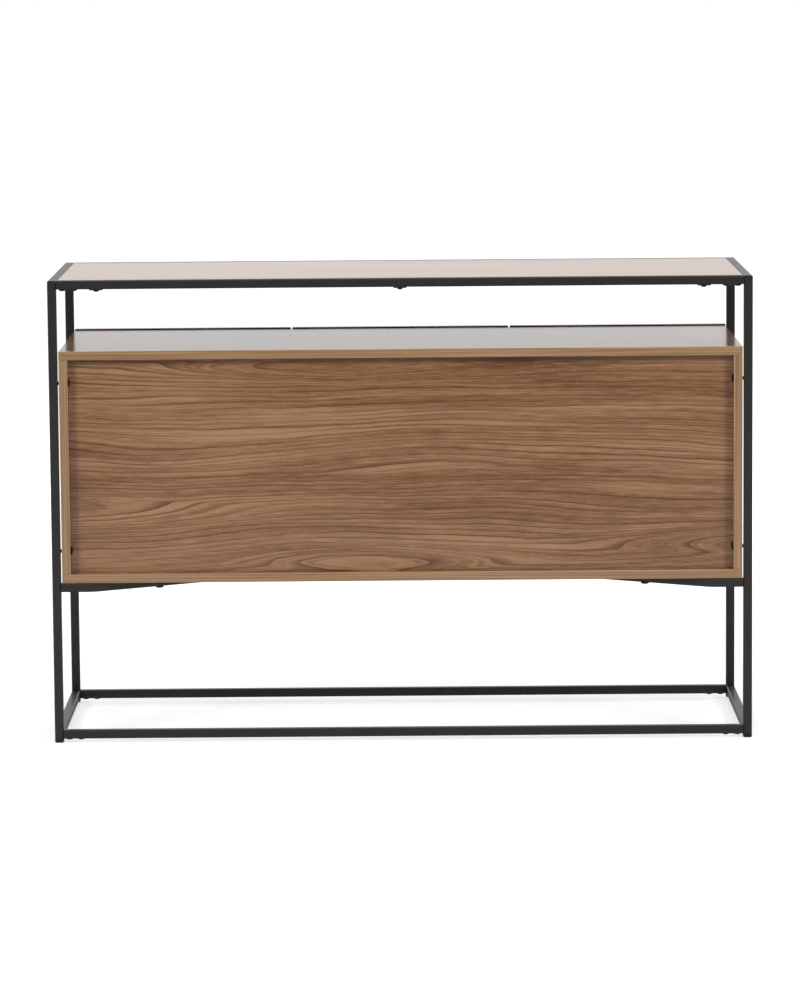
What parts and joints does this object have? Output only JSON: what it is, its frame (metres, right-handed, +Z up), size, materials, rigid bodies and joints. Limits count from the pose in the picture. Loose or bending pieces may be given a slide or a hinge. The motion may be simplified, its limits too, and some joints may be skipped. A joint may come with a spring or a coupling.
{
  "type": "sideboard",
  "caption": "Long low cabinet with hinged doors and inner shelves, hung in an open square-tube frame under a flush top shelf.",
  "frame": {"origin": "on the floor under the middle of the frame", "axes": "+X to the right as seen from the doors, +Y towards the back panel, +Z up"},
  "size_m": [1.2, 0.42, 0.797],
  "materials": {
    "powder_coated_steel": "satin black powder coat",
    "black_plastic": "moulded, matt",
    "grey_plastic": "moulded, satin",
    "walnut_laminate": "satin walnut laminate, long grain",
    "black_laminate": "satin black laminate",
    "nickel_plated_steel": "nickel plated",
    "black_zinc_steel": "black zinc, satin"
  },
  "bodies": {
    "carcass": {"leg_front_left": "powder_coated_steel", "leg_front_right": "powder_coated_steel", "leg_back_left": "powder_coated_steel", "leg_back_right": "powder_coated_steel", "top_side_rail_left": "powder_coated_steel", "top_side_rail_right": "powder_coated_steel", "base_side_rail_left": "powder_coated_steel", "base_side_rail_right": "powder_coated_steel", "top_long_rail_front": "powder_coated_steel", "top_long_rail_back": "powder_coated_steel", "base_long_rail_front": "powder_coated_steel", "base_long_rail_back": "powder_coated_steel", "cradle_left": "powder_coated_steel", "cradle_right": "powder_coated_steel", "foot_front_left": "black_plastic", "foot_front_right": "black_plastic", "foot_back_left": "black_plastic", "foot_back_right": "black_plastic", "top_panel": "walnut_laminate", "cabinet_top": "walnut_laminate", "cabinet_bottom": "walnut_laminate", "cabinet_side_left": "walnut_laminate", "cabinet_side_right": "walnut_laminate", "divider_left": "walnut_laminate", "divider_right": "walnut_laminate", "back_panel": "walnut_laminate", "shelf_left": "walnut_laminate", "shelf_middle": "walnut_laminate", "shelf_right": "walnut_laminate", "hinge_arm_left_lower": "nickel_plated_steel", "hinge_arm_left_upper": "nickel_plated_steel", "hinge_arm_middle_lower": "nickel_plated_steel", "hinge_arm_middle_upper": "nickel_plated_steel", "hinge_arm_right_lower": "nickel_plated_steel", "hinge_arm_right_upper": "nickel_plated_steel", "latch_body_left": "black_plastic", "latch_body_middle": "black_plastic", "latch_body_right": "black_plastic", "side_bolt_left_lower": "black_zinc_steel", "side_bolt_left_upper": "black_zinc_steel", "side_bolt_right_lower": "black_zinc_steel", "side_bolt_right_upper": "black_zinc_steel", "cradle_screw_left_back": "black_zinc_steel", "cradle_screw_left_front": "black_zinc_steel", "cradle_screw_right_back": "black_zinc_steel", "cradle_screw_right_front": "black_zinc_steel"},
    "left_door": {"door_left": "black_laminate", "hinge_cup_left_lower": "nickel_plated_steel", "hinge_cup_left_upper": "nickel_plated_steel"},
    "middle_door": {"door_middle": "black_laminate", "hinge_cup_middle_lower": "nickel_plated_steel", "hinge_cup_middle_upper": "nickel_plated_steel"},
    "right_door": {"door_right": "black_laminate", "hinge_cup_right_lower": "nickel_plated_steel", "hinge_cup_right_upper": "nickel_plated_steel"},
    "left_plunger": {"latch_plunger_left": "grey_plastic"},
    "middle_plunger": {"latch_plunger_middle": "grey_plastic"},
    "right_plunger": {"latch_plunger_right": "grey_plastic"}
  },
  "joints": [
    {"name": "left_door_hinge", "type": "hinge", "parent": "carcass", "child": "left_door", "pos_m": [-0.583, -0.21, 0.4788], "axis": [0, 0, -1], "range_deg": [0, 100]},
    {"name": "middle_door_hinge", "type": "hinge", "parent": "carcass", "child": "middle_door", "pos_m": [-0.19333, -0.21, 0.4788], "axis": [0, 0, -1], "range_deg": [0, 100]},
    {"name": "right_door_hinge", "type": "hinge", "parent": "carcass", "child": "right_door", "pos_m": [0.583, -0.21, 0.4788], "axis": [0, 0, 1], "range_deg": [0, 100]},
    {"name": "left_latch_push", "type": "slide", "parent": "carcass", "child": "left_plunger", "axis": [0, 1, 0], "range_m": [0, 0.003], "stiffness_N_per_m": 200, "springref_m": -0.004},
    {"name": "middle_latch_push", "type": "slide", "parent": "carcass", "child": "middle_plunger", "axis": [0, 1, 0], "range_m": [0, 0.003], "stiffness_N_per_m": 200, "springref_m": -0.004},
    {"name": "right_latch_push", "type": "slide", "parent": "carcass", "child": "right_plunger", "axis": [0, 1, 0], "range_m": [0, 0.003], "stiffness_N_per_m": 200, "springref_m": -0.004}
  ]
}
